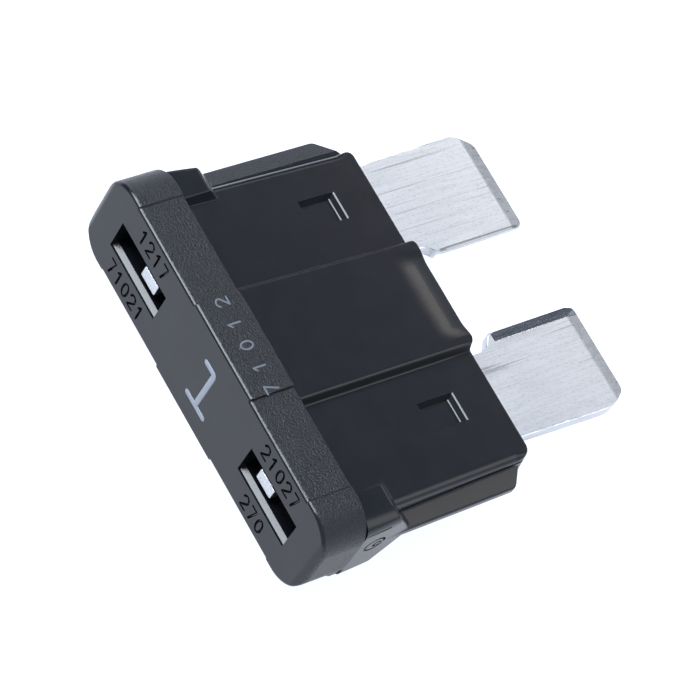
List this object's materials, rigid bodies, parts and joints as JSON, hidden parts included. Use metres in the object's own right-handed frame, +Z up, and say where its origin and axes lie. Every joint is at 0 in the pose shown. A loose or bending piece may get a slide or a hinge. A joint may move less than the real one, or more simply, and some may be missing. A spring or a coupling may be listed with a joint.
{
  "type": "automotive blade fuse",
  "caption": "Regular blade fuse: a black moulded housing closed round a stamped strip with two blades, a thin link inside and a test lug in each slot of the head.",
  "frame": {"origin": "centre of the footprint, at the lowest point: the fuse lies on the middle section of its head's back face", "axes": "+X across the width, +Y from the head towards the blade tips, +Z up out of the broad face"},
  "size_m": [0.0186, 0.0186, 0.0051],
  "materials": {
    "housing_plastic": "black moulded plastic, spark-eroded grain on the head, satin on the body",
    "element_metal": "plated stamped zinc alloy with fine drawing marks along the blades"
  },
  "bodies": {
    "root": {"housing": "housing_plastic", "fuse_element": "element_metal"}
  },
  "joints": []
}
